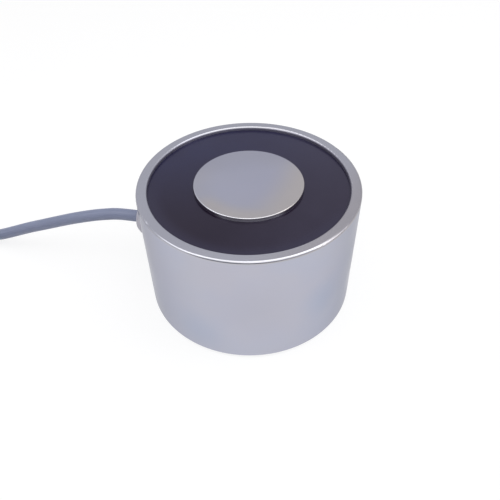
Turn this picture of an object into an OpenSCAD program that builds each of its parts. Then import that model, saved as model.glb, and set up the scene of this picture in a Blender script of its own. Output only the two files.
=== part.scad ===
// Round holding electromagnet with a side cable. It stands on its back face, with the holding face up.
// The origin is the centre of the back face, and the cable leaves along -X.

/* [Pot] */
// Outside diameter of the steel pot
pot_d = 80; // [76:1:110]
// Height from the back face to the holding face
pot_h = 50; // [46:1:70]
// Thickness of the side wall
rim_t = 3.9; // [2.5:0.1:5]
// Thickness of the back
back_t = 10; // [8:0.5:14]
// Width of the groove between the side wall and the centre pole
groove_w = 16.35; // [14:0.05:20]
// Radius on the outer edge of the rim
rim_round = 0.9; // [0.4:0.1:1.6]
// Radius on the inner edge of the rim
lip_round = 0.7; // [0.2:0.1:1]
// Radius on the edge of the pole
pole_round = 0.3; // [0.2:0.1:0.8]
// Chamfer round the back face
back_chamfer = 1.5; // [0.5:0.1:3]

/* [Back thread] */
// Nominal diameter of the tapped hole
thread_d = 10; // [8:1:12]
// Pitch of the thread
thread_pitch = 1.5; // [1:0.25:1.75]
// Depth of the full thread
thread_depth = 16; // [10:1:22]
// Angle of the drill point
drill_point = 118; // [90:1:140]

/* [Coil] */
// Play between the pole and the spool
spool_play = 0.3; // [0.1:0.1:0.6]
// Wall of the spool's barrel
barrel_t = 1.2; // [0.8:0.1:2]
// Thickness of the spool's flanges
flange_t = 1.6; // [1:0.1:2.5]
// Gap between the flanges and the side wall
flange_gap = 0.7; // [0.4:0.1:1.2]
// Room kept between the taped winding and the side wall, for the end of the cable
entry_room = 5.3; // [5:0.1:7]
// Thickness of the tape round the winding
tape_t = 0.4; // [0.2:0.1:0.8]
// Diameter of the sleeved winding ends
lead_d = 1.4; // [1:0.1:1.6]
// Bend radius of the leads and cores
wire_bend = 1.5; // [1.2:0.1:2]
// Diameter of the sleeves over the joints
splice_d = 2.5; // [2:0.1:2.8]
// Arc that each of those sleeves covers
splice_arc = 26; // [18:1:30]
// Play of the leads in the slots of the spool
slot_play = 0.4; // [0.2:0.1:0.8]

/* [Resin] */
// How far the resin lies below the holding face
resin_drop = 1.5; // [0.6:0.1:2]
// Height that the resin creeps up the steel
resin_creep = 0.1; // [0.1:0.1:0.3]
// Resin over the joints
resin_cover = 2.1; // [1.5:0.1:4]

/* [Cable entry] */
// Height of the cable above the back face
exit_z = 27; // [24:0.5:30]
// Diameter of the hole in the side wall
entry_d = 9; // [8:0.1:11]
// Diameter of the bush where it lies on the wall
bush_d = 15; // [13:0.5:18]
// Height of the full dome of the bush
dome_h = 5.9; // [5:0.1:6.5]
// Height at which the dome is cut flat
bush_h = 4.5; // [3:0.1:4.8]
// Step of the snap ring behind the wall
snap_step = 0.8; // [0.4:0.1:1.2]
// Length of the snap ring
snap_t = 1.4; // [1:0.1:1.6]
// Length of sheath behind the snap ring
sheath_rest = 1; // [0.6:0.1:1.2]

/* [Cable] */
// Diameter of the sheath
cable_d = 4.7; // [4:0.1:5]
// Diameter of each core
core_d = 1.3; // [1.1:0.1:1.5]
// Radius of the outer turn of the stored coil
outer_turn_r = 29; // [28:0.5:32]
// Room between the turns
turn_play = 0.15; // [0.1:0.05:0.4]
// Width of the strap round the coil
strap_w = 2.6; // [2:0.1:4]
// Thickness of the strap
strap_t = 0.8; // [0.6:0.1:1]
// Play of the strap on the turns
strap_play = 0.1; // [0.05:0.05:0.3]
// Width of the strap's square head
head_w = 4.4; // [4:0.1:6]
// Height of the strap's head
head_h = 2.4; // [2:0.1:3]
// Length of each ferrule
ferrule_l = 12; // [8:1:14]
// Length of a ferrule's collar
collar_l = 5; // [4:0.5:6]
// Diameter of a ferrule's collar
collar_d = 2.2; // [1.8:0.1:2.6]
// Diameter of a ferrule's pin
pin_d = 1.1; // [0.9:0.1:1.3]

/* [Hidden] */
$fn = 96;
pot_r = pot_d / 2;
inner_r = pot_r - rim_t;
pole_r = inner_r - groove_w;
resin_z = pot_h - resin_drop;
// The rounded edges end above the resin
wall_left = max(0.1, resin_drop - resin_creep);
lip_r = min(lip_round, wall_left);
pole_edge_r = min(pole_round, wall_left);

drill_d = thread_d - thread_pitch;
drill_tip = drill_d / 2 / tan(drill_point / 2);
thread_runout = 3 * thread_pitch;

barrel_in = pole_r + spool_play;
barrel_out = barrel_in + barrel_t;
flange_r = inner_r - flange_gap;
tape_r = inner_r - entry_room;
winding_r = tape_r - tape_t;
spool_top = resin_z - resin_cover - splice_d;
window_low = back_t + flange_t;
window_high = spool_top - flange_t;

// The joints lie on the spool's top flange, on one circle
wire_z = spool_top + splice_d / 2;
sheath_end = inner_r - snap_t - sheath_rest;
wire_r = sheath_end - wire_bend;
core_y = 0.55 * core_d;
core_angle = asin((core_y + wire_bend) / wire_r);
splice_start = 12;
splice_end = splice_start + splice_arc;
lead_angle = splice_end + 12;
start_r = barrel_out + slot_play + lead_d / 2;
finish_r = winding_r - slot_play - lead_d / 2;

dome_r = (bush_d * bush_d / 4 + dome_h * dome_h) / (2 * dome_h);
bush_face = pot_r + bush_h;

// The free cable, as distance from the face of the bush and height above the floor
cable_route = [
    [0, 27], [5, 27], [10, 26.7], [15, 25.7], [21, 24.1], [27, 22.15], [33, 20], [39, 17.65], [45, 15.3],
    [51, 12.95], [57, 10.4], [63, 7.8], [68, 5.8], [73, 4.35], [78, 3.55], [84, 3.2], [90, 3.15], [97, 3.25]
];
route_length = 97;

// The stored turns lie flat beside each other, and the strap keeps them off the floor
turn_step = cable_d + turn_play;
coil_z = strap_t + strap_play + cable_d / 2;
coil_centre = [-bush_face - route_length, -outer_turn_r, coil_z];
middle_turn_r = outer_turn_r - turn_step;
inner_turn_r = middle_turn_r - turn_step;
inner_turn_end = 270;
inner_turn_gap = 60;
strap_angle = 180;

// The free cores, from the end of the sheath: two ways along the floor, and the share of the drop to it
core_drop = coil_z - collar_d / 2;
brown_route = [
    [0, 0.7, 0], [1, 0.7, 0], [3.2, 1.1, 0.05], [5.6, 2.4, 0.25], [7.9, 4.6, 0.65], [9.2, 7.3, 1],
    [9.4, 10.3, 1]
];
blue_route = [
    [0, -0.7, 0], [1, -0.7, 0], [3.8, -0.3, 0.05], [7, 1.2, 0.25], [9.9, 3.7, 0.65], [11.9, 6.9, 1],
    [12.6, 10.3, 1]
];

function unit(v) = v / norm(v);
function heading(p, i) = unit(p[min(i + 1, len(p) - 1)] - p[max(i - 1, 0)]);
function on_circle(r, a, z) = [-r * cos(a), r * sin(a), z];
// Points along a circle round the pole; the last step is short, so the end is square to the circle
function arc_points(r, from, to, z, steps) = [
    for (i = [0:steps], a = i < steps ? [from + (to - from) * i / steps] : [to + sign(from - to) * 0.3, to])
        on_circle(r, a, z)
];
function core_way(route) = [for (p = route) coil_centre + [p[0], p[1] - inner_turn_r, -p[2] * core_drop]];
function bend(corner, u, v, r, steps) = [
    for (i = [0:steps]) let (a = 90 * i / steps) corner - u * r * (1 - sin(a)) + v * r * (1 - cos(a))
];

// Solid round tube along a list of points; side_ref is never parallel to the route
module tube(p, d, side_ref, sides = 8) {
    last = len(p) - 1;
    rings = [
        for (i = [0:last])
            let (t = heading(p, i), s = unit(cross(t, side_ref)), u = cross(s, t))
            for (k = [0:sides - 1]) p[i] + d / 2 * (cos(360 * k / sides) * s + sin(360 * k / sides) * u)
    ];
    walls = [
        for (i = [0:last - 1], k = [0:sides - 1])
            let (a = i * sides + k, b = i * sides + (k + 1) % sides)
            for (f = [[a, b, a + sides], [b, b + sides, a + sides]]) f
    ];
    ends = [[for (k = [sides - 1:-1:0]) k], [for (k = [0:sides - 1]) last * sides + k]];
    polyhedron(rings, concat(walls, ends), convexity = 4);
}

// Local +Z points out along the cable's exit, from a distance off the pot's axis
module along_exit(from) translate([-from, 0, exit_z]) rotate([0, -90, 0]) children();

// Removes the corner of a profile outside a fillet of radius r, towards +X and +Y
module corner_cut(r) difference() {
    square(r + 1);
    circle(r);
}

module pot_profile() difference() {
    square([pot_r, pot_h]);
    polygon([[pot_r - back_chamfer - 1, -1], [pot_r + 1, -1], [pot_r + 1, back_chamfer + 1]]);
    translate([pole_r, back_t]) square([inner_r - pole_r, pot_h]);
    translate([pot_r - rim_round, pot_h - rim_round]) corner_cut(rim_round);
    translate([inner_r + lip_r, pot_h - lip_r]) mirror([1, 0]) corner_cut(lip_r);
    translate([pole_r - pole_edge_r, pot_h - pole_edge_r]) corner_cut(pole_edge_r);
}

// Tapping hole with its drill point and the countersink at its mouth
module back_hole() rotate_extrude() polygon([
    [0, -1], [thread_d / 2 + 1.5, -1], [drill_d / 2, (thread_d + 1 - drill_d) / 2],
    [drill_d / 2, thread_depth + thread_runout], [0, thread_depth + thread_runout + drill_tip]
]);

module pot_body() color([0.66, 0.67, 0.71]) difference() {
    rotate_extrude() pot_profile();
    back_hole();
    along_exit(inner_r - 2) cylinder(d = entry_d, h = rim_t + 4);
}

// Radial slot in the spool's top flange, from radius r outwards
module flange_slot(a, r, w) rotate([0, 0, -a]) translate([-inner_r - r, -w / 2, window_high - 1])
    cube([inner_r, w, flange_t + 2]);

module coil_bobbin() color([0.86, 0.84, 0.76]) difference() {
    rotate_extrude() union() {
        translate([barrel_in, back_t]) square([barrel_t, spool_top - back_t]);
        translate([barrel_in, back_t]) square([flange_r - barrel_in, flange_t]);
        translate([barrel_in, window_high]) square([flange_r - barrel_in, flange_t]);
    }
    flange_slot(0, tape_r, 2 * (core_y + core_d / 2 + 2 * slot_play));
    flange_slot(lead_angle, finish_r - lead_d / 2 - slot_play, lead_d + 2 * slot_play);
    flange_slot(-lead_angle, barrel_out, lead_d + 2 * slot_play);
}

module coil_winding() color([0.72, 0.4, 0.2]) rotate_extrude()
    translate([barrel_out, window_low]) square([winding_r - barrel_out, window_high - window_low]);

module winding_tape() color([0.93, 0.84, 0.45]) rotate_extrude()
    translate([winding_r, window_low]) square([tape_t, window_high - window_low]);

// Winding end: up through its slot, over the flange and along the circle of the joints
module start_lead() color([0.8, 0.8, 0.78]) mirror([0, 1, 0]) tube(concat(
    [on_circle(start_r, lead_angle, window_high)],
    bend(on_circle(start_r, lead_angle, wire_z), [0, 0, 1], on_circle(1, lead_angle, 0), wire_bend, 3),
    [on_circle(wire_r - wire_bend, lead_angle, wire_z)],
    arc_points(wire_r, lead_angle - 4, splice_end, wire_z, 3)
), lead_d, [1, -1, -3]);

// Outer winding end, which leans over from its slot to the same circle
module finish_lead() color([0.8, 0.8, 0.78]) tube(concat(
    [on_circle(finish_r, lead_angle, window_high), on_circle(finish_r, lead_angle, wire_z - lead_d)],
    [on_circle((finish_r + wire_r) / 2, lead_angle - 1, wire_z - lead_d / 4)],
    arc_points(wire_r, lead_angle - 4, splice_end, wire_z, 3)
), lead_d, [1, -1, -3]);

// Core inside the pot: out of the sheath, up past the winding and along the circle of the joints
module inner_core() tube(concat(
    [[-sheath_end, core_y, exit_z]],
    bend([-wire_r, core_y, exit_z], [1, 0, 0], [0, 0, 1], 0.9 * wire_bend, 3),
    bend([-wire_r, core_y, wire_z], [0, 0, 1], [0, 1, 0], wire_bend, 3),
    arc_points(wire_r, core_angle + 2, splice_start, wire_z, 2)
), core_d, [1, -1, -1]);

module brown_core() color([0.42, 0.24, 0.14]) inner_core();

module blue_core() color([0.16, 0.32, 0.62]) mirror([0, 1, 0]) inner_core();

module joint_sleeve() rotate([0, 0, 180 - splice_end]) rotate_extrude(angle = splice_arc)
    translate([wire_r, wire_z]) circle(d = splice_d);

module brown_splice() color([0.12, 0.12, 0.13]) joint_sleeve();

module blue_splice() color([0.12, 0.12, 0.13]) mirror([0, 1, 0]) joint_sleeve();

// Resin climbs both walls in a small hollow curve
module resin_profile() {
    translate([pole_r, back_t]) square([inner_r - pole_r, resin_z - back_t]);
    for (side = [0, 1])
        translate([side ? inner_r : pole_r, resin_z]) mirror([side, 0]) difference() {
            translate([0, -0.2]) square([resin_creep + 0.05, resin_creep + 0.2]);
            translate([resin_creep + 0.05, resin_creep]) circle(resin_creep);
        }
}

module potting_resin() color([0.17, 0.15, 0.19]) difference() {
    rotate_extrude() resin_profile();
    coil_bobbin();
    coil_winding();
    winding_tape();
    start_lead();
    finish_lead();
    brown_core();
    blue_core();
    brown_splice();
    blue_splice();
    cable_bush();
    cable_entry();
}

// Domed head outside, shank through the wall and snap ring behind it
module cable_bush() color([0.7, 0.7, 0.74]) difference() {
    union() {
        difference() {
            along_exit(pot_r + dome_h - dome_r) sphere(dome_r);
            along_exit(bush_face) cylinder(d = 2 * bush_d, h = dome_r);
            cylinder(r = pot_r, h = pot_h);
        }
        along_exit(inner_r - snap_t) cylinder(d = entry_d, h = bush_face - inner_r + snap_t);
        intersection() {
            along_exit(inner_r - snap_t) cylinder(d = entry_d + 2 * snap_step, h = snap_t + 1);
            cylinder(r = inner_r, h = pot_h);
        }
    }
    along_exit(0) cylinder(d = cable_d, h = pot_d);
}

// Straight end of the sheath, in the bush and behind it
module cable_entry() along_exit(sheath_end) cylinder(d = cable_d, h = bush_face - sheath_end);

module lead_cable() color([0.53, 0.55, 0.63]) {
    cable_entry();
    tube([for (p = cable_route) [-bush_face - p[0], 0, p[1]]], cable_d, [0, 1, 0], 12);
}

// Section through the turns, which lie side by side
module turns_section(grow = 0) {
    translate([inner_turn_r, -cable_d / 2 - grow]) square([outer_turn_r - inner_turn_r, cable_d + 2 * grow]);
    for (r = [inner_turn_r, outer_turn_r]) translate([r, 0]) circle(d = cable_d + 2 * grow);
}

// The turns as one ring, open where the cable comes in and where the inner turn has ended
module cable_coil() color([0.53, 0.55, 0.63]) translate(coil_centre) difference() {
    rotate_extrude() turns_section();
    translate([0, outer_turn_r - cable_d / 2, -cable_d]) cube([outer_turn_r, 2 * cable_d, 2 * cable_d]);
    rotate([0, 0, inner_turn_end]) rotate_extrude(angle = inner_turn_gap)
        translate([inner_turn_r - cable_d, -cable_d]) square([turn_step + cable_d / 2, 2 * cable_d]);
}

// Strap loop round the three turns, with its square head on the outside
module coil_tie() color([0.9, 0.9, 0.88]) translate(coil_centre) rotate([0, 0, strap_angle]) {
    rotate([90, 0, 0]) linear_extrude(strap_w, center = true) difference() {
        turns_section(strap_play + strap_t);
        turns_section(strap_play);
    }
    translate([middle_turn_r - head_w / 2, -head_w / 2, cable_d / 2 + strap_play + strap_t])
        cube([head_w, head_w, head_h]);
}

module free_core(route) tube(core_way(route), core_d, [0, 0, 1]);

module brown_tail() color([0.42, 0.24, 0.14]) free_core(brown_route);

module blue_tail() color([0.16, 0.32, 0.62]) free_core(blue_route);

// Collar and pin at the end of a core, along the core's last stretch
module ferrule(route) {
    points = core_way(route);
    last = len(points) - 1;
    way = heading(points, last);
    translate(points[last]) rotate([0, acos(way[2]), atan2(way[1], way[0])]) {
        cylinder(d1 = collar_d, d2 = 0.8 * collar_d, h = collar_l);
        cylinder(d = pin_d, h = ferrule_l);
    }
}

module wire_ferrules() color([0.75, 0.75, 0.76]) {
    ferrule(brown_route);
    ferrule(blue_route);
}

pot_body();
coil_bobbin();
coil_winding();
winding_tape();
start_lead();
finish_lead();
brown_core();
blue_core();
brown_splice();
blue_splice();
potting_resin();
cable_bush();
lead_cable();
cable_coil();
coil_tie();
brown_tail();
blue_tail();
wire_ferrules();
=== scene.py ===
import bpy
import math
from mathutils.geometry import interpolate_bezier
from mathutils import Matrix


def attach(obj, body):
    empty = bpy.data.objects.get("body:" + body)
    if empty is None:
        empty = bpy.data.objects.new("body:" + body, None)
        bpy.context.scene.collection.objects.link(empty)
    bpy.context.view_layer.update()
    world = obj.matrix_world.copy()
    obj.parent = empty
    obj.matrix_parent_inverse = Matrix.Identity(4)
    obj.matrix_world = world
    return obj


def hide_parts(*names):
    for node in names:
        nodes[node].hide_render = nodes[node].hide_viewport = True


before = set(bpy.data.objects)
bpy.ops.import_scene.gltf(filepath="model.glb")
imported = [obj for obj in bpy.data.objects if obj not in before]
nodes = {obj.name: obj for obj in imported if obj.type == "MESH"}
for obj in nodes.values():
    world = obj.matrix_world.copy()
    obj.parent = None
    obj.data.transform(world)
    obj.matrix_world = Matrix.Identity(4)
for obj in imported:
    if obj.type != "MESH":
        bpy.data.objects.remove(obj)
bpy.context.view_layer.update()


def deselectAll():
    if bpy.context.object and bpy.context.object.mode != "OBJECT":
        bpy.ops.object.mode_set(mode="OBJECT")
    bpy.ops.object.select_all(action="DESELECT")


# camera, solved from the rim, pole and foot outlines of the picture
cameraSet = {
    "place": (0.032062, -0.150841, 0.168142),
    "turn": (45.4089, 0.7701, 11.2409),
    "lens": 39.078,
    "sensor": 36,
    "nearest": 0.01,
}
deselectAll()
bpy.ops.object.camera_add(
    location=cameraSet["place"],
    rotation=[math.radians(t) for t in cameraSet["turn"]],
)
camera = bpy.context.object
camera.name = "camera"
camera.data.lens = cameraSet["lens"]
camera.data.sensor_width = cameraSet["sensor"]
camera.data.clip_start = cameraSet["nearest"]
bpy.context.scene.camera = camera
bpy.context.scene.view_settings.view_transform = "Standard"
print("camera placed")


# the lead: out of the bush, down to the floor and into a flat coil
leadSet = {
    "exit": (-0.0445, 0.0, 0.027),
    "thick": 0.0047,
    "length": 0.487,
    "run": [  # mm out from the bush, mm above the floor
        (-3, 27), (0, 27), (5, 27), (10, 26.7), (15, 25.7), (21, 24.1), (27, 22.15),
        (33, 20), (39, 17.65), (45, 15.3), (51, 12.95), (57, 10.4), (63, 7.8),
        (68, 5.8), (73, 4.35), (78, 3.55), (84, 3.2), (90, 3.15), (97, 3.25),
    ],
    "coilAt": (-141.5, -29.0, 3.25),
    "outerTurn": 29.0,
    "turnStep": 4.85,
    "stepIn": (210, 360),  # part of each turn in which it moves one lane inwards
    "lastLane": 2,
    "from": 90,  # where on the coil the lead comes in, degrees
    "sweep": 900,  # two turns and a half
    "pointEvery": 15,
}


def laneShift(angle, start, end):
    t = min(max((angle - start) / (end - start), 0.0), 1.0)
    return t * t * (3 - 2 * t)


def leadPoints(s):
    points = [(s["exit"][0] - out / 1000, 0.0, up / 1000) for out, up in s["run"]]
    cx, cy, cz = s["coilAt"]
    for angle in range(s["pointEvery"], s["sweep"] + 1, s["pointEvery"]):
        lane = min(angle // 360, s["lastLane"])
        part = angle - 360 * lane
        shift = laneShift(part, *s["stepIn"]) if lane < s["lastLane"] else 0.0
        r = s["outerTurn"] - s["turnStep"] * (lane + shift)
        a = math.radians(s["from"] + angle)
        points.append((
            (cx + r * math.cos(a)) / 1000,
            (cy + r * math.sin(a)) / 1000,
            cz / 1000,
        ))
    return points


def roundWire(name, points, thick, steps=6, sides=8, mergeWithin=0.000001, smoothBelow=40):
    deselectAll()
    curve = bpy.data.curves.new(name, "CURVE")
    curve.dimensions = "3D"
    curve.bevel_depth = thick / 2
    curve.bevel_resolution = sides
    curve.resolution_u = steps
    curve.use_fill_caps = True
    spline = curve.splines.new("BEZIER")
    spline.bezier_points.add(len(points) - 1)
    for knot, place in zip(spline.bezier_points, points):
        knot.co = place
        knot.handle_left_type = knot.handle_right_type = "AUTO"
    piece = bpy.data.objects.new(name, curve)
    bpy.context.scene.collection.objects.link(piece)
    bpy.context.view_layer.update()
    line = [spline.bezier_points[0].co.copy()]  # the centre line, as smooth as the tube
    for a, b in zip(spline.bezier_points[:-1], spline.bezier_points[1:]):
        line += interpolate_bezier(a.co, a.handle_right, b.handle_left, b.co, steps + 1)[1:]
    bpy.context.view_layer.objects.active = piece
    piece.select_set(True)
    bpy.ops.object.convert(target="MESH")  # keeps the tube's own UV map
    bpy.ops.object.mode_set(mode="EDIT")
    bpy.ops.mesh.select_all(action="SELECT")
    bpy.ops.mesh.remove_doubles(threshold=mergeWithin)
    bpy.ops.mesh.normals_make_consistent(inside=False)
    bpy.ops.object.mode_set(mode="OBJECT")
    bpy.ops.object.shade_smooth_by_angle(angle=math.radians(smoothBelow))
    return piece, line


leadCord, leadLine = roundWire("lead_cord", leadPoints(leadSet), leadSet["thick"])
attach(leadCord, "root")
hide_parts("lead_cable", "cable_coil")
print("lead laid")

# bare cores at the lead's end, from the sheath to the ferrules
coreSet = {
    "thick": 0.0013,
    "start": (-141.5, -48.3, 3.25),
    "drop": 2.15,
    "brown": [  # mm from the end of the sheath, and the share of the drop
        (0, 0.7, 0), (1, 0.7, 0), (3.2, 1.1, 0.05), (5.6, 2.4, 0.25),
        (7.9, 4.6, 0.65), (9.2, 7.3, 1), (9.4, 10.3, 1),
    ],
    "blue": [
        (0, -0.7, 0), (1, -0.7, 0), (3.8, -0.3, 0.05), (7, 1.2, 0.25),
        (9.9, 3.7, 0.65), (11.9, 6.9, 1), (12.6, 10.3, 1),
    ],
}
coreTails = {}
for colour in ("brown", "blue"):
    x, y, z = coreSet["start"]
    route = [
        ((x + along) / 1000, (y + across) / 1000, (z - down * coreSet["drop"]) / 1000)
        for along, across, down in coreSet[colour]
    ]
    tail = roundWire(colour + "_core_tail", route, coreSet["thick"])[0]
    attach(tail, "root")
    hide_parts(colour + "_tail")
    coreTails[colour] = tail
print("cores laid")


# small helpers for modelling
def editPart(piece, wanted=None):
    deselectAll()
    bpy.context.view_layer.objects.active = piece
    piece.select_set(True)
    mesh = piece.data
    for part in (*mesh.vertices, *mesh.edges, *mesh.polygons):
        part.select = False
    if wanted:
        for face in mesh.polygons:
            face.select = wanted(face)
    bpy.ops.object.mode_set(mode="EDIT")
    bpy.ops.mesh.select_mode(type="FACE")
    if not wanted:
        bpy.ops.mesh.select_all(action="SELECT")


def leaveEdit(mergeWithin=0.0000005):
    bpy.ops.mesh.select_all(action="SELECT")
    bpy.ops.mesh.remove_doubles(threshold=mergeWithin)
    bpy.ops.mesh.normals_make_consistent(inside=False)
    bpy.ops.object.mode_set(mode="OBJECT")


def addModifier(piece, kind, **settings):
    deselectAll()
    bpy.context.view_layer.objects.active = piece
    piece.select_set(True)
    modifier = piece.modifiers.new(kind.lower(), kind)
    for key, value in settings.items():
        setattr(modifier, key, value)
    bpy.ops.object.modifier_apply(modifier=modifier.name)


def settle(piece):  # its place goes into its mesh
    deselectAll()
    bpy.context.view_layer.objects.active = piece
    piece.select_set(True)
    bpy.ops.object.transform_apply(location=True, rotation=True, scale=True)


# cable tie round the stored turns, its head on top
tieSet = {
    "middle": (-0.16565, -0.0290, 0.00325),  # of the three turns that it holds
    "reach": 0.00485,  # from the middle turn to the turn beside it
    "loop": 0.00285,  # bend of the band round the outer and the inner turn
    "corners": 42,  # so that none lies above the middle
    "width": 0.0026,
    "thick": 0.0008,
    "rail": 0.00045,  # raised edge along each side of the band
    "railDeep": 0.00012,
    "edgeRound": 0.00010,
    "head": (0.0044, 0.0044, 0.0026),
    "headSunk": 0.0002,
    "headRound": 0.0005,
    "pocket": (0.0016, 0.0031, 0.0007),
    "tail": (0.0009, 0.0025, 0.0010),
    "tailShift": 0.0002,
    "tailProud": 0.0002,  # how far the cut end stands out of the head
    "tailLean": 12,  # slant of the cut, degrees
    "smoothBelow": 35,  # sharper edges are rounded, and smooth shading stops there, degrees
}
tx, ty, tz = tieSet["middle"]
deselectAll()
bpy.ops.mesh.primitive_circle_add(
    vertices=tieSet["corners"], radius=tieSet["loop"],
    location=(tx, ty - tieSet["width"] / 2, tz), rotation=(math.radians(90), 0, 0))
coilStrap = bpy.context.object
coilStrap.name = coilStrap.data.name = "coil_strap"
settle(coilStrap)
for side in (1, -1):
    deselectAll()
    coilStrap.select_set(True)
    for part in (*coilStrap.data.vertices, *coilStrap.data.edges):
        part.select = False
    for corner in coilStrap.data.vertices:
        corner.select = (corner.co.x - tx) * side > 0
    bpy.ops.object.mode_set(mode="EDIT")
    bpy.ops.mesh.select_mode(type="VERT")
    bpy.ops.transform.translate(value=(tieSet["reach"] * side, 0, 0))
    bpy.ops.object.mode_set(mode="OBJECT")
bpy.ops.object.mode_set(mode="EDIT")
bpy.ops.mesh.select_mode(type="EDGE")
bpy.ops.mesh.select_all(action="SELECT")
bpy.ops.mesh.extrude_edges_move(TRANSFORM_OT_translate={"value": (0, tieSet["width"], 0)})
leaveEdit()
addModifier(coilStrap, "SOLIDIFY", thickness=tieSet["thick"], offset=0.0, use_even_offset=True)


def bandOutside(face):
    x, y, z = face.center
    along = min(max(x - tx, -tieSet["reach"]), tieSet["reach"])
    out = (x - tx - along, z - tz)
    return abs(face.normal.y) < 0.5 and out[0] * face.normal.x + out[1] * face.normal.z > 0


editPart(coilStrap, bandOutside)
bpy.ops.mesh.inset(
    thickness=tieSet["rail"], depth=-tieSet["railDeep"], use_boundary=True, use_even_offset=True)
leaveEdit()
addModifier(
    coilStrap, "BEVEL", width=tieSet["edgeRound"], segments=2,
    limit_method="ANGLE", angle_limit=math.radians(tieSet["smoothBelow"]))


def addBlock(name, size, middle):
    deselectAll()
    bpy.ops.mesh.primitive_cube_add(size=1.0, location=middle)
    block = bpy.context.object
    block.name = block.data.name = name
    block.scale = size
    settle(block)
    return block


headTop = tz + tieSet["loop"] + tieSet["thick"] / 2 - tieSet["headSunk"] + tieSet["head"][2]
strapHead = addBlock("strap head", tieSet["head"], (tx, ty, headTop - tieSet["head"][2] / 2))
editPart(strapHead)
bpy.ops.mesh.bevel(offset=tieSet["headRound"], segments=3, affect="EDGES")
leaveEdit()
strapPocket = addBlock("strap pocket", tieSet["pocket"], (tx, ty, headTop))
addModifier(strapHead, "BOOLEAN", operation="DIFFERENCE", object=strapPocket, solver="EXACT")
cutX, cutZ = tx + tieSet["tailShift"], headTop + tieSet["tailProud"]
strapTail = addBlock(  # the end of the band, cut off a little proud of the head
    "strap tail", tieSet["tail"], (cutX, ty, cutZ - tieSet["tail"][2] / 2))
editPart(strapTail, lambda face: face.normal.z > 0.9)
bpy.ops.transform.rotate(
    value=math.radians(tieSet["tailLean"]), orient_axis="Y", center_override=(cutX, ty, cutZ))
leaveEdit()
for extra in (strapHead, strapTail):
    addModifier(coilStrap, "BOOLEAN", operation="UNION", object=extra, solver="EXACT")
for extra in (strapHead, strapPocket, strapTail):
    bpy.data.objects.remove(extra)
deselectAll()
coilStrap.select_set(True)
bpy.context.view_layer.objects.active = coilStrap
bpy.ops.object.shade_smooth_by_angle(angle=math.radians(tieSet["smoothBelow"]))
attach(coilStrap, "root")
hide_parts("coil_tie")
print("coil tied")

# crimped ferrules on the bare cores, made upright and then laid along them
ferruleSet = {
    "collar": [  # radius and height, mm
        (0.98, 0), (1.1, 0.12), (1.1, 0.5), (1.02, 0.9), (0.92, 1.3), (0.89, 1.6),
        (0.87, 4.6), (0.84, 4.85), (0.76, 5.0),
    ],
    "pin": [
        (0.55, 4.7), (0.55, 11.6), (0.52, 11.9), (0.46, 12.0), (0.40, 12.0), (0.36, 11.85),
    ],
    "crimps": (5.7, 6.9, 8.1, 9.3, 10.5),
    "crimpLong": 0.7,
    "crimpSlope": 0.15,
    "crimpDeep": (0.80, 0.94),  # shares of the pin's radius, both ways
    "corners": 32,
}
collarRings = [(r, r, height) for r, height in ferruleSet["collar"]]
pinRings = [(r, r, height) for r, height in ferruleSet["pin"]]
pinRadius, slope = ferruleSet["pin"][0][0], ferruleSet["crimpSlope"]
narrow, wide = (pinRadius * share for share in ferruleSet["crimpDeep"])
crimpRings = []
for start in ferruleSet["crimps"]:
    end = start + ferruleSet["crimpLong"]
    crimpRings += [
        (pinRadius, pinRadius, start), (narrow, wide, start + slope),
        (narrow, wide, end - slope), (pinRadius, pinRadius, end),
    ]


def turnUp(name, rings, corners, hollow=False, smoothBelow=38):  # rings: half widths and height, mm
    deselectAll()
    oneMm = 0.001
    x, y, z = rings[0]
    bpy.ops.mesh.primitive_circle_add(
        vertices=corners, radius=oneMm, location=(0, 0, z * oneMm),
        fill_type="NOTHING" if hollow else "NGON")
    piece = bpy.context.object
    piece.name = piece.data.name = name
    piece.scale = (x, y, 1)
    settle(piece)
    editPart(piece)
    if hollow:  # the ring alone is drawn out, back to where it began
        bpy.ops.mesh.select_mode(type="EDGE")
        bpy.ops.mesh.select_all(action="SELECT")
    for before, after in zip(rings[:-1], rings[1:]):
        bpy.ops.mesh.extrude_region_move(
            TRANSFORM_OT_translate={"value": (0, 0, (after[2] - before[2]) * oneMm)})
        bpy.ops.transform.resize(
            value=(after[0] / before[0], after[1] / before[1], 1), center_override=(0, 0, after[2] * oneMm))
    leaveEdit()
    bpy.ops.object.shade_smooth_by_angle(angle=math.radians(smoothBelow))
    return piece


def ferrulePair(name, rings):
    pair = []
    for colour in ("brown", "blue"):
        ferrule = turnUp(name, rings, ferruleSet["corners"])
        (ax, ay, _), (bx, by, down) = coreSet[colour][-2:]  # the core's last stretch
        x, y, z = coreSet["start"]
        ferrule.location = ((x + bx) / 1000, (y + by) / 1000, (z - down * coreSet["drop"]) / 1000)
        ferrule.rotation_euler = (0, math.radians(90), math.atan2(by - ay, bx - ax))
        settle(ferrule)
        pair.append(ferrule)
    deselectAll()
    for ferrule in pair:
        ferrule.select_set(True)
    bpy.context.view_layer.objects.active = pair[0]
    bpy.ops.object.join()
    pair[0].name = pair[0].data.name = name
    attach(pair[0], "root")
    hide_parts("wire_ferrules")
    return pair[0]


ferruleCollars = ferrulePair("ferrule_collars", collarRings)
ferrulePins = ferrulePair("ferrule_pins", pinRings[:1] + crimpRings + pinRings[1:])
print("ferrules crimped")

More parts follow.
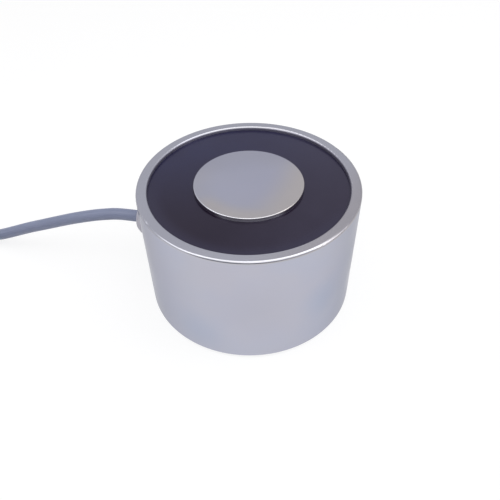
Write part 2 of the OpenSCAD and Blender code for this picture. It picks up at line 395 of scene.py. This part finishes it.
# moulded bush: a domed head on the wall, a seal lip round the lead, and a barrel that snaps in behind
bushSet = {
    "height": 0.027,
    "corners": 96,
    "barrel": [  # radius, and distance from the pot's axis, mm
        (2.36, 34.7), (5.1, 34.7), (5.3, 34.9), (5.3, 35.6), (4.48, 35.65), (4.48, 39.0), (7.67, 39.0),
    ],
    "ball": (7.717, 38.183),  # radius and middle of the dome
    "seat": (39.4, 40.0, 40.35, 40.7),
    "groove": [(7.14, 40.77), (7.07, 40.86), (7.07, 40.95), (7.11, 41.02)],
    "dome": (41.08, 41.4, 41.8, 42.2, 42.6, 43.0, 43.35, 43.65),
    "mouth": [
        (5.20, 43.87), (4.92, 44.04), (4.60, 44.15), (4.25, 44.2), (3.80, 44.2), (3.70, 44.15),
        (3.62, 43.97), (3.50, 43.88), (3.24, 43.88), (3.12, 43.97), (3.04, 44.12), (2.93, 44.2),
        (2.55, 44.2), (2.42, 44.16), (2.36, 44.06), (2.36, 34.7),
    ],
}


def onBall(outs):
    ball, ballAt = bushSet["ball"]
    return [(math.sqrt(ball ** 2 - (out - ballAt) ** 2), out) for out in outs]


bushOutline = (
    bushSet["barrel"] + onBall(bushSet["seat"]) + bushSet["groove"]
    + onBall(bushSet["dome"]) + bushSet["mouth"])
leadBush = turnUp("lead_bush", [(r, r, out) for r, out in bushOutline], bushSet["corners"], hollow=True)
leadBush.location = (0, 0, bushSet["height"])
leadBush.rotation_euler = (0, math.radians(-90), 0)
settle(leadBush)
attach(leadBush, "root")
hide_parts("cable_bush")
print("bush moulded")


# small helpers for the node trees
def addNode(tree, kind, inputs=None, **settings):
    node = tree.nodes.new(kind)
    for key, value in settings.items():
        setattr(node, key, value)
    for key, value in (inputs or {}).items():
        if isinstance(value, bpy.types.NodeSocket):
            tree.links.new(value, node.inputs[key])
        else:
            node.inputs[key].default_value = value
    return node


def calc(tree, operation, a, b=0.0, c=0.0, clamp=False):
    node = addNode(tree, "ShaderNodeMath", {0: a, 1: b, 2: c}, operation=operation, use_clamp=clamp)
    return node.outputs[0]


def ease(tree, value, low, high, toLow=0.0, toHigh=1.0):
    node = addNode(
        tree, "ShaderNodeMapRange",
        {"Value": value, "From Min": low, "From Max": high, "To Min": toLow, "To Max": toHigh},
        interpolation_type="SMOOTHSTEP",
    )
    return node.outputs["Result"]


def times(tree, first, *others):
    for other in others:
        first = calc(tree, "MULTIPLY", first, other)
    return first


def towards(tree, vector, way):
    node = addNode(tree, "ShaderNodeVectorMath", {0: vector, 1: way}, operation="DOT_PRODUCT")
    return node.outputs["Value"]


def blendColour(tree, factor, a, b):
    node = addNode(tree, "ShaderNodeMix", data_type="RGBA")
    for socket, value in ((node.inputs[0], factor), (node.inputs[6], a), (node.inputs[7], b)):
        if isinstance(value, bpy.types.NodeSocket):
            tree.links.new(value, socket)
        else:
            socket.default_value = value
    return node.outputs[2]


def rgb(r, g, b):
    return (r, g, b, 1.0)


def newGroup(name, inputs, outputs):
    tree = bpy.data.node_groups.new(name, "ShaderNodeTree")
    for label, kind in inputs:
        tree.interface.new_socket(label, in_out="INPUT", socket_type=kind)
    for label in outputs:
        tree.interface.new_socket(label, in_out="OUTPUT", socket_type="NodeSocketFloat")
    return tree, tree.nodes.new("NodeGroupInput"), tree.nodes.new("NodeGroupOutput")


vectorIn, floatIn = "NodeSocketVector", "NodeSocketFloat"

# cloudy patches, two that don't follow each other
cloudTree, gin, gout = newGroup(
    "cloud patches", [("Vector", vectorIn), ("Scale", floatIn)], ["Cloud", "Patch"])
for label, shift in (("Cloud", 0.0), ("Patch", 3.7)):
    moved = addNode(cloudTree, "ShaderNodeVectorMath", {0: gin.outputs["Vector"], 1: (shift, shift, shift)})
    noise = addNode(
        cloudTree, "ShaderNodeTexNoise",
        {"Vector": moved.outputs[0], "Scale": gin.outputs["Scale"], "Detail": 2.5, "Roughness": 0.5},
    )
    cloudTree.links.new(ease(cloudTree, noise.outputs["Fac"], low=0.3, high=0.7), gout.inputs[label])

# fine skin of moulded and extruded plastics
grainTree, gin, gout = newGroup(
    "moulded grain", [("Vector", vectorIn), ("Scale", floatIn)], ["Height", "Tone"])
fine = addNode(
    grainTree, "ShaderNodeTexNoise",
    {"Vector": gin.outputs["Vector"], "Scale": gin.outputs["Scale"], "Detail": 3.0, "Roughness": 0.6},
)
coarseShare, heightShare = 0.12, 0.6
coarseScale = times(grainTree, gin.outputs["Scale"], coarseShare)
coarse = addNode(
    grainTree, "ShaderNodeTexNoise",
    {"Vector": gin.outputs["Vector"], "Scale": coarseScale, "Detail": 2.0},
)
grainTree.links.new(times(grainTree, fine.outputs["Fac"], heightShare), gout.inputs["Height"])
grainTree.links.new(coarse.outputs["Fac"], gout.inputs["Tone"])

# dust specks, scattered by chance
speckTree, gin, gout = newGroup(
    "specks", [("Vector", vectorIn), ("Scale", floatIn), ("Share", floatIn)], ["Mask"])
cells = addNode(
    speckTree, "ShaderNodeTexVoronoi", {"Vector": gin.outputs["Vector"], "Scale": gin.outputs["Scale"]})
chance = addNode(speckTree, "ShaderNodeSeparateColor", {0: cells.outputs["Color"]})
chosen = calc(speckTree, "LESS_THAN", chance.outputs[0], gin.outputs["Share"])
speckSize = ease(speckTree, chance.outputs[1], 0.0, 1.0, toLow=0.05, toHigh=0.2)
outward = calc(speckTree, "DIVIDE", cells.outputs["Distance"], speckSize, clamp=True)
speck = calc(speckTree, "SUBTRACT", 1.0, outward)
speckTree.links.new(times(speckTree, speck, chosen), gout.inputs["Mask"])

# rings left by the turning tool: the same all the way round the Z axis
ringTree, gin, gout = newGroup(
    "turned rings", [("Vector", vectorIn), ("Scale", floatIn)], ["Height", "Radius", "Level"])
axes = addNode(ringTree, "ShaderNodeSeparateXYZ", {0: gin.outputs["Vector"]})
flat = addNode(ringTree, "ShaderNodeCombineXYZ", {"X": axes.outputs["X"], "Y": axes.outputs["Y"]})
radius = addNode(ringTree, "ShaderNodeVectorMath", {0: flat.outputs[0]}, operation="LENGTH").outputs["Value"]
section = addNode(ringTree, "ShaderNodeCombineXYZ", {"X": radius, "Y": axes.outputs["Z"]})
rings = addNode(
    ringTree, "ShaderNodeTexNoise",
    {"Vector": section.outputs[0], "Scale": gin.outputs["Scale"], "Detail": 2.0, "Roughness": 0.55},
    noise_dimensions="2D",
)
ringTree.links.new(rings.outputs["Fac"], gout.inputs["Height"])
ringTree.links.new(radius, gout.inputs["Radius"])
ringTree.links.new(axes.outputs["Z"], gout.inputs["Level"])

# faint lines drawn along a sheath by its extruder, on the tube's own UV map
drawnTree, gin, gout = newGroup(
    "drawn lines", [("Vector", vectorIn), ("Along", floatIn), ("Around", floatIn)], ["Line"])
axes = addNode(drawnTree, "ShaderNodeSeparateXYZ", {0: gin.outputs["Vector"]})
turn = times(drawnTree, axes.outputs["Y"], 2 * math.pi)
wrapped = addNode(drawnTree, "ShaderNodeCombineXYZ", {
    "X": times(drawnTree, axes.outputs["X"], gin.outputs["Along"]),
    "Y": times(drawnTree, calc(drawnTree, "COSINE", turn), gin.outputs["Around"]),
    "Z": times(drawnTree, calc(drawnTree, "SINE", turn), gin.outputs["Around"]),
})
lines = addNode(
    drawnTree, "ShaderNodeTexNoise",
    {"Vector": wrapped.outputs[0], "Scale": 1.0, "Detail": 3.0, "Roughness": 0.6},
)
drawnTree.links.new(ease(drawnTree, lines.outputs["Fac"], low=0.32, high=0.68), gout.inputs["Line"])
print("node groups built")


def useGroup(tree, group, vector, **values):
    node = tree.nodes.new("ShaderNodeGroup")
    node.node_tree = group
    tree.links.new(vector, node.inputs["Vector"])
    for key, value in values.items():
        node.inputs[key].default_value = value
    return node


def newFinish(name, **constants):
    material = bpy.data.materials.new(name)
    material.use_nodes = True
    tree = material.node_tree
    tree.nodes.clear()
    output = tree.nodes.new("ShaderNodeOutputMaterial")
    shader = addNode(tree, "ShaderNodeBsdfPrincipled")
    for key, value in constants.items():
        shader.inputs[key.replace("_", " ")].default_value = value
    tree.links.new(shader.outputs[0], output.inputs["Surface"])
    place = tree.nodes.new("ShaderNodeTexCoord").outputs["Object"]
    return material, tree, shader, place


def addBump(tree, shader, height, distance):
    bump = addNode(tree, "ShaderNodeBump", {"Height": height, "Distance": distance, "Strength": 1.0})
    tree.links.new(bump.outputs["Normal"], shader.inputs["Normal"])


def wear(piece, material):
    piece.data.materials.clear()
    piece.data.materials.append(material)


# zinc plated steel, turned, with the faint colours of its passivation, and painted shade and painted
# highlights on the pole, the groove walls and the edges
steelSet = {
    "silver": rgb(0.478, 0.487, 0.562),
    "blue": rgb(0.440, 0.470, 0.590),
    "pink": rgb(0.500, 0.480, 0.545),
    "grey": rgb(0.490, 0.478, 0.505),  # the outer part of the pole's face
    "dull": rgb(0.440, 0.440, 0.505),  # its back, darker: painted shade
    "straw": rgb(0.555, 0.515, 0.480),  # its right side and its edge in front
    "rim": rgb(0.492, 0.490, 0.522),
    "rimStraw": rgb(0.436, 0.411, 0.418),  # the right of the rim
    "wall": rgb(0.300, 0.290, 0.345),  # the unpolished outer wall of the groove, darkened in front and at the sides: painted shade
    # the same wall at the back, with less painted shade
    "backWall": rgb(0.480, 0.468, 0.535),
    "poleSideShade": rgb(0.150, 0.120, 0.170),  # the pole's side: painted shade
    "poleHighlight": rgb(0.740, 0.735, 0.775),  # painted highlight on the pole's edge and side in front
    "rimHighlight": rgb(0.585, 0.582, 0.618),  # painted highlight on both edges of the rim, in front and at the back
    "stain": rgb(0.415, 0.450, 0.560),
    "edgeTint": rgb(0.68, 0.68, 0.70),
    "spots": [  # middle, reach, colour, share; the first darkens the side wall, the others make it bluer
        ((0.0128, -0.0379, 0.0260), 0.022, "dull", 0.45),
        ((-0.0115, -0.0383, 0.0110), 0.016, "stain", 0.7),
        ((0.0308, -0.0255, 0.0229), 0.013, "stain", 0.7),
    ],
    "rough": (0.18, 0.26),
    "wallRough": 0.55,
    "patches": 55.0,
    "broadPatches": 22.0,
    "rings": 5000.0,
    "ringDeep": 0.0000002,
    "ringSheen": 0.25,  # what the roughness takes from the rings and from the patches
    "patchSheen": 0.75,
    "sheenSpan": (0.1, 0.9),
    "poleRingShare": 0.85,
    "poleEdgeShare": 0.9,
}
steelWays = {  # the sides that the colours lie on, seen from the pot's axis
    "straw": (0.97, -0.25, 0.0),
    "ring": (0.60, -0.80, 0.0),
    "back": (-0.30, 0.95, 0.0),
    "poleHighlight": (-0.30, -0.95, 0.0),
    "front": (0.225, -0.974, 0.0),
    "rimHighlight": (0.26, -0.966, 0.0),
    "rimStraw": (0.907, -0.421, 0.0),
}
steelFades = {  # where each mask starts and where it is full, metres
    "face": (0.0488, 0.0494),
    "pole": (0.0361, 0.01975),
    "poleGrey": (0.009, 0.0198),
    "poleStraw": (0.004, 0.0175),
    "poleRing": (0.0120, 0.0180),
    "poleRingSide": (-0.002, 0.006),
    "poleBackShade": (0.003, 0.016),
    "rim": (0.030, 0.036),
    "rimStraw": (0.020, 0.038),
    "rimWallBelow": (0.04987, 0.04970),
    "rimWallFrom": (0.028, 0.030),
    "rimWallTo": (0.0368, 0.0364),
    "backWall": (0.024, 0.033),
    "rimHighlightSide": (0.0300, 0.0355),
    "rimHighlightAbove": (0.0496, 0.0498),
    "rimHighlightFrom": (0.030, 0.032),
    "rimInside": (0.0368, 0.0366),
    "rimOutside": (0.0391, 0.0393),
    "poleEdgeSide": (0.0060, 0.0170),
    "poleEdgeAbove": (0.0494, 0.0498),
    "poleEdgeFrom": (0.01935, 0.01960),
    "poleEdgeTo": (0.022, 0.020),
    "poleWallBelow": (0.0498, 0.0493),
    "poleWallFrom": (0.0194, 0.0197),
    "poleWallTo": (0.030, 0.028),
    "poleFront": (0.0152, 0.0178),
}
plated, tree, shader, place = newFinish(
    "plated steel", Metallic=1.0, Specular_Tint=steelSet["edgeTint"])
clouds = useGroup(tree, cloudTree, place, Scale=steelSet["patches"])
broad = useGroup(tree, cloudTree, place, Scale=steelSet["broadPatches"])
turned = useGroup(tree, ringTree, place, Scale=steelSet["rings"])
radius, level = turned.outputs["Radius"], turned.outputs["Level"]
side = {name: towards(tree, place, way) for name, way in steelWays.items()}


def fade(value, name):
    return ease(plated.node_tree, value, *steelFades[name])


onFace = fade(level, "face")
onPole = times(tree, onFace, fade(radius, "pole"))
onRim = times(tree, onFace, fade(radius, "rim"))
poleGrey = times(tree, onPole, fade(radius, "poleGrey"))
# painted shade on the back of the pole
poleBackShade = times(tree, onPole, fade(side["back"], "poleBackShade"))
poleStraw = times(tree, onPole, fade(side["straw"], "poleStraw"))
poleRing = times(
    tree, onPole, fade(radius, "poleRing"), fade(side["ring"], "poleRingSide"), steelSet["poleRingShare"])
poleStraw = calc(tree, "MAXIMUM", poleStraw, poleRing)
poleWall = times(
    tree, fade(level, "poleWallBelow"), fade(radius, "poleWallFrom"), fade(radius, "poleWallTo"))
# painted highlight on the pole's edge, strongest in front
poleEdge = times(
    tree, fade(side["poleHighlight"], "poleEdgeSide"), fade(level, "poleEdgeAbove"), steelSet["poleEdgeShare"],
    fade(radius, "poleEdgeFrom"), fade(radius, "poleEdgeTo"))
rimStraw = times(tree, onRim, fade(side["rimStraw"], "rimStraw"))
rimWall = times(
    tree, fade(level, "rimWallBelow"), fade(radius, "rimWallFrom"), fade(radius, "rimWallTo"))
# painted highlight on the rim's outer and inner edges, in front and at the back
rimEdge = times(
    tree, fade(calc(tree, "ABSOLUTE", side["rimHighlight"]), "rimHighlightSide"),
    calc(tree, "MAXIMUM", fade(radius, "rimOutside"), fade(radius, "rimInside")),
    fade(level, "rimHighlightAbove"), fade(radius, "rimHighlightFrom"))
# darker and bluer spots on the side wall
spots = []
for spot, reach, shade, share in steelSet["spots"]:
    apart = addNode(tree, "ShaderNodeVectorMath", {0: place, 1: spot}, operation="DISTANCE").outputs["Value"]
    spots.append((ease(tree, apart, reach, 0.0), share, steelSet[shade]))
# painted shade on the groove's wall, darker in front and at the sides than at the back
wallShade = blendColour(tree, fade(side["back"], "backWall"), steelSet["wall"], steelSet["backWall"])
# painted shade on the pole's side, turning to a painted highlight in front
poleShade = blendColour(tree, fade(side["front"], "poleFront"), steelSet["poleSideShade"], steelSet["poleHighlight"])
colour = steelSet["silver"]
for mask, share, shade in (
    (clouds.outputs["Cloud"], 0.5, steelSet["blue"]),
    (broad.outputs["Patch"], 0.4, steelSet["pink"]),
    *spots,
    (poleGrey, 0.7, steelSet["grey"]),
    (poleBackShade, 0.8, steelSet["dull"]),
    (poleStraw, 0.85, steelSet["straw"]),
    (onRim, 0.85, steelSet["rim"]),
    (rimStraw, 0.8, steelSet["rimStraw"]),
    (rimWall, 1.0, wallShade),
    (rimEdge, 1.0, steelSet["rimHighlight"]),
    (poleWall, 1.0, poleShade),
    (poleEdge, 1.0, steelSet["poleHighlight"]),
):
    colour = blendColour(tree, times(tree, mask, share), colour, shade)
tree.links.new(colour, shader.inputs["Base Color"])
patchSheen = times(tree, clouds.outputs["Patch"], steelSet["patchSheen"])
sheen = calc(tree, "MULTIPLY_ADD", turned.outputs["Height"], steelSet["ringSheen"], patchSheen)
rough = addNode(tree, "ShaderNodeMix", {
    "Factor": calc(tree, "MAXIMUM", rimWall, poleWall),
    "A": ease(tree, sheen, *steelSet["sheenSpan"], *steelSet["rough"]),
    "B": steelSet["wallRough"],
})
tree.links.new(rough.outputs["Result"], shader.inputs["Roughness"])
addBump(tree, shader, turned.outputs["Height"], steelSet["ringDeep"])
wear(nodes["pot_body"], plated)

# cast black resin, with painted reflections that make it bluer towards the back and left and lighter towards
# the right
resinSet = {
    "black": rgb(0.0050, 0.0002, 0.0045),
    "backReflection": rgb(0.0100, 0.0100, 0.0420),  # painted reflection, towards the back and left
    "reflectionWay": (-0.35, 0.94, 0.0),
    "frontEdgeTone": rgb(0.0250, 0.0230, 0.0450),  # lighter and bluer along the wall in front
    "rightReflection": rgb(0.0250, 0.0200, 0.0380),  # painted reflection, towards the right
    "dust": rgb(0.10, 0.095, 0.11),
    "sheenTint": rgb(0.74, 0.70, 1.0),
    "rough": (0.17, 0.26),
    "patches": 90.0,
    "grain": 2500.0,
    "specks": 700.0,
    "speckShare": 0.03,
    "dustShare": 0.4,
    "waves": 8.0,  # height of the broad waves, to the grain's
    "grainDeep": 0.000003,
    "toBack": (-0.022, 0.030, 0.0, 0.9),  # where a haze starts and ends, and its share there
    "toRight": (-0.010, 0.030, 0.0, 0.55),
    "toFront": (0.0, -0.020, 0.0, 0.6),
    "toWall": (0.0300, 0.0355),
}
resin, tree, shader, place = newFinish(
    "black resin", Metallic=0.0, IOR=1.55, Specular_Tint=resinSet["sheenTint"])
clouds = useGroup(tree, cloudTree, place, Scale=resinSet["patches"])
grain = useGroup(tree, grainTree, place, Scale=resinSet["grain"])
dust = useGroup(tree, speckTree, place, Scale=resinSet["specks"], Share=resinSet["speckShare"])
axes = addNode(tree, "ShaderNodeSeparateXYZ", {0: place})
flat = addNode(tree, "ShaderNodeVectorMath", {0: place, 1: (1.0, 1.0, 0.0)}, operation="MULTIPLY").outputs[0]
apart = addNode(tree, "ShaderNodeVectorMath", {0: flat}, operation="LENGTH").outputs["Value"]
# painted reflections: bluer towards the back and left, lighter towards the right
toBack = ease(tree, towards(tree, place, resinSet["reflectionWay"]), *resinSet["toBack"])
toRight = ease(tree, axes.outputs["X"], *resinSet["toRight"])
toWall = times(
    tree, ease(tree, apart, *resinSet["toWall"]), ease(tree, axes.outputs["Y"], *resinSet["toFront"]))
spread = calc(tree, "MULTIPLY_ADD", clouds.outputs["Cloud"], 0.2, 0.9)  # from 0.9 to 1.1
colour = resinSet["black"]
for mask, share, shade in (
    (toBack, spread, "backReflection"),
    (toRight, spread, "rightReflection"),
    (toWall, 1.0, "frontEdgeTone"),
    (dust.outputs["Mask"], resinSet["dustShare"], "dust"),
):
    colour = blendColour(tree, times(tree, mask, share), colour, resinSet[shade])
tree.links.new(colour, shader.inputs["Base Color"])
tree.links.new(
    ease(tree, clouds.outputs["Patch"], 0.0, 1.0, *resinSet["rough"]), shader.inputs["Roughness"])
waves = times(tree, clouds.outputs["Patch"], resinSet["waves"])
addBump(tree, shader, calc(tree, "ADD", waves, grain.outputs["Height"]), resinSet["grainDeep"])
wear(nodes["potting_resin"], resin)

# what all the plastics have in common
skinSet = {
    "patches": 120.0,
    "lineTone": 2.0,  # weight of the drawn lines in the colour, to that of the patches
    "lineHeight": 1.5,
    "roughSpread": (-0.05, 0.06),
}


def plasticFinish(name, main, shade, rough, grainScale, grainDepth, drawn=None):
    material, tree, shader, place = newFinish(name, Metallic=0.0, IOR=1.5)
    clouds = useGroup(tree, cloudTree, place, Scale=skinSet["patches"])
    grain = useGroup(tree, grainTree, place, Scale=grainScale)
    tone = times(tree, calc(tree, "ADD", clouds.outputs["Cloud"], grain.outputs["Tone"]), 0.5)
    height = grain.outputs["Height"]
    if drawn:  # lengthwise lines take over from the patches
        skin = tree.nodes.new("ShaderNodeUVMap").outputs[0]
        lines = useGroup(tree, drawnTree, skin, Along=drawn[0], Around=drawn[1])
        line, weight = lines.outputs["Line"], skinSet["lineTone"]
        tone = times(tree, calc(tree, "MULTIPLY_ADD", line, weight, tone), 1.0 / (1.0 + weight))
        height = calc(tree, "MULTIPLY_ADD", line, skinSet["lineHeight"], height)
    tree.links.new(blendColour(tree, tone, main, shade), shader.inputs["Base Color"])
    roughness = (rough + spread for spread in skinSet["roughSpread"])
    tree.links.new(ease(tree, clouds.outputs["Patch"], 0.0, 1.0, *roughness), shader.inputs["Roughness"])
    addBump(tree, shader, height, grainDepth)
    return material


# main colour, colour of the patches, roughness, grain per metre, grain depth, lines along and around
plasticSet = {
    "cable grey": (rgb(0.290, 0.322, 0.456), rgb(0.248, 0.278, 0.400), 0.46, 3000.0, 0.000010, (34.0, 4.0)),
    "bush grey": (rgb(0.65, 0.635, 0.705), rgb(0.575, 0.555, 0.62), 0.42, 3500.0, 0.000008),
    "strap white": (rgb(0.72, 0.715, 0.69), rgb(0.66, 0.65, 0.61), 0.38, 2500.0, 0.000005),
    "collar white": (rgb(0.66, 0.66, 0.65), rgb(0.60, 0.60, 0.585), 0.36, 4000.0, 0.000003),
    "core brown": (rgb(0.110, 0.047, 0.022), rgb(0.085, 0.035, 0.016), 0.42, 4500.0, 0.000004, (3.0, 2.5)),
    "core blue": (rgb(0.022, 0.105, 0.380), rgb(0.016, 0.080, 0.310), 0.42, 4500.0, 0.000004, (3.0, 2.5)),
    "spool plastic": (rgb(0.55, 0.53, 0.46), rgb(0.47, 0.45, 0.38), 0.45, 2500.0, 0.000008),
    "lead sleeve": (rgb(0.55, 0.09, 0.05), rgb(0.45, 0.07, 0.04), 0.45, 4500.0, 0.000004),
    "splice black": (rgb(0.020, 0.020, 0.022), rgb(0.030, 0.030, 0.032), 0.50, 3500.0, 0.000006),
    "winding tape": (rgb(0.62, 0.46, 0.10), rgb(0.54, 0.38, 0.07), 0.35, 1800.0, 0.000006),
}
plastics = {name: plasticFinish(name, *values) for name, values in plasticSet.items()}
wear(leadCord, plastics["cable grey"])
wear(leadBush, plastics["bush grey"])
wear(coilStrap, plastics["strap white"])
wear(ferruleCollars, plastics["collar white"])
wear(coreTails["brown"], plastics["core brown"])
wear(coreTails["blue"], plastics["core blue"])
for name, finish in {
    "cable_bush": "bush grey", "coil_tie": "strap white", "lead_cable": "cable grey",
    "cable_coil": "cable grey", "brown_tail": "core brown", "blue_tail": "core blue",
    "brown_core": "core brown", "blue_core": "core blue", "coil_bobbin": "spool plastic",
    "start_lead": "lead sleeve", "finish_lead": "lead sleeve", "brown_splice": "splice black",
    "blue_splice": "splice black", "winding_tape": "winding tape",
}.items():
    wear(nodes[name], plastics[finish])

# drawn wire; for each metal its bright and its dull colour, its roughness and the scale of its patches
metalSet = {
    "grain": 20,  # to the scale of the patches
    "grainDeep": 0.000004,
    "roughSpread": (-0.06, 0.08),
    "tinned copper": (rgb(0.66, 0.65, 0.64), rgb(0.54, 0.53, 0.52), 0.35, 300.0),
    "copper wire": (rgb(0.72, 0.30, 0.14), rgb(0.56, 0.21, 0.09), 0.35, 250.0),
}


def drawnMetal(name):
    bright, dull, rough, scale = metalSet[name]
    material, tree, shader, place = newFinish(name, Metallic=1.0)
    clouds = useGroup(tree, cloudTree, place, Scale=scale)
    grain = useGroup(tree, grainTree, place, Scale=scale * metalSet["grain"])
    tree.links.new(blendColour(tree, clouds.outputs["Cloud"], bright, dull), shader.inputs["Base Color"])
    roughness = (rough + spread for spread in metalSet["roughSpread"])
    tree.links.new(ease(tree, clouds.outputs["Patch"], 0.0, 1.0, *roughness), shader.inputs["Roughness"])
    addBump(tree, shader, grain.outputs["Height"], metalSet["grainDeep"])
    return material


tinned = drawnMetal("tinned copper")
wear(ferrulePins, tinned)
wear(nodes["wire_ferrules"], tinned)
wear(nodes["coil_winding"], drawnMetal("copper wire"))
print("finishes made")

# floor: white to the lens and in reflections, a plain pale sheet to all other light
stageSet = {
    "floorSize": 6.0,
    "sheet": rgb(0.80, 0.80, 0.80),
    "shown": rgb(0.24, 0.24, 0.24),
    "lift": 0.82,
    "wall": rgb(0.70, 0.71, 0.77),
    "front": rgb(0.20, 0.20, 0.225),  # the room behind the lens, up to half its height
    "behind": (-0.60, -0.92),
    "lowDown": (0.65, 0.35),
    "overhead": rgb(0.05, 0.05, 0.055),  # the room above the top softbox
    "overheadWay": (0.12, -0.25, 0.96),
    "overheadFrom": (0.866, 0.9135),
    "fill": rgb(0.22, 0.22, 0.235),  # what matt surfaces get from all round
}
lampSet = [  # name, place, size, power
    ("top softbox", (0.130, -0.086, 0.86), (1.15, 0.98), 5.5),
    ("left softbox", (-0.57, -0.27, 0.60), (0.48, 0.48), 0.95),
    ("right softbox", (0.79, 0.03, 0.47), (0.48, 0.48), 1.05),
]
deselectAll()
bpy.ops.mesh.primitive_plane_add(size=stageSet["floorSize"])
floor = bpy.context.object
floor.name = "floor"
sheet = bpy.data.materials.new("floor sheet")
sheet.use_nodes = True
tree = sheet.node_tree
tree.nodes.clear()
rays = tree.nodes.new("ShaderNodeLightPath")
seen = calc(tree, "MAXIMUM", rays.outputs["Is Camera Ray"], rays.outputs["Is Glossy Ray"])
seen = calc(tree, "MAXIMUM", seen, rays.outputs["Is Transmission Ray"])
pale = addNode(tree, "ShaderNodeBsdfDiffuse", {"Color": stageSet["sheet"]})
shade = addNode(tree, "ShaderNodeBsdfDiffuse", {"Color": stageSet["shown"]})
lift = addNode(tree, "ShaderNodeEmission", {"Strength": stageSet["lift"]})
shown = addNode(tree, "ShaderNodeAddShader", {0: shade.outputs[0], 1: lift.outputs[0]})
mixed = addNode(tree, "ShaderNodeMixShader", {0: seen, 1: pale.outputs[0], 2: shown.outputs[0]})
addNode(tree, "ShaderNodeOutputMaterial", {"Surface": mixed.outputs[0]})
floor.data.materials.append(sheet)

for name, spot, size, power in lampSet:
    deselectAll()
    bpy.ops.object.light_add(type="AREA", location=spot)
    lamp = bpy.context.object
    lamp.name = name
    lamp.rotation_euler = lamp.location.to_track_quat("Z", "Y").to_euler()  # faces the magnet
    lamp.data.shape = "RECTANGLE"
    lamp.data.size, lamp.data.size_y = size
    lamp.data.energy = power

# pale studio walls, darker behind the lens and above the top softbox
world = bpy.data.worlds.new("studio")
bpy.context.scene.world = world
world.use_nodes = True
tree = world.node_tree
tree.nodes.clear()
around = tree.nodes.new("ShaderNodeTexCoord").outputs["Generated"]
axes = addNode(tree, "ShaderNodeSeparateXYZ", {0: around})
behind = ease(tree, axes.outputs["Y"], *stageSet["behind"])
lowDown = ease(tree, axes.outputs["Z"], *stageSet["lowDown"])
above = ease(tree, towards(tree, around, stageSet["overheadWay"]), *stageSet["overheadFrom"])
walls = blendColour(tree, times(tree, behind, lowDown), stageSet["wall"], stageSet["front"])
walls = blendColour(tree, above, walls, stageSet["overhead"])
rays = tree.nodes.new("ShaderNodeLightPath")
mirrored = calc(tree, "MAXIMUM", rays.outputs["Is Glossy Ray"], rays.outputs["Is Transmission Ray"])
colour = blendColour(tree, mirrored, stageSet["fill"], walls)
colour = blendColour(tree, rays.outputs["Is Camera Ray"], colour, stageSet["wall"])
back = addNode(tree, "ShaderNodeBackground", {"Color": colour, "Strength": 1.0})
addNode(tree, "ShaderNodeOutputWorld", {"Surface": back.outputs[0]})
print("stage set")
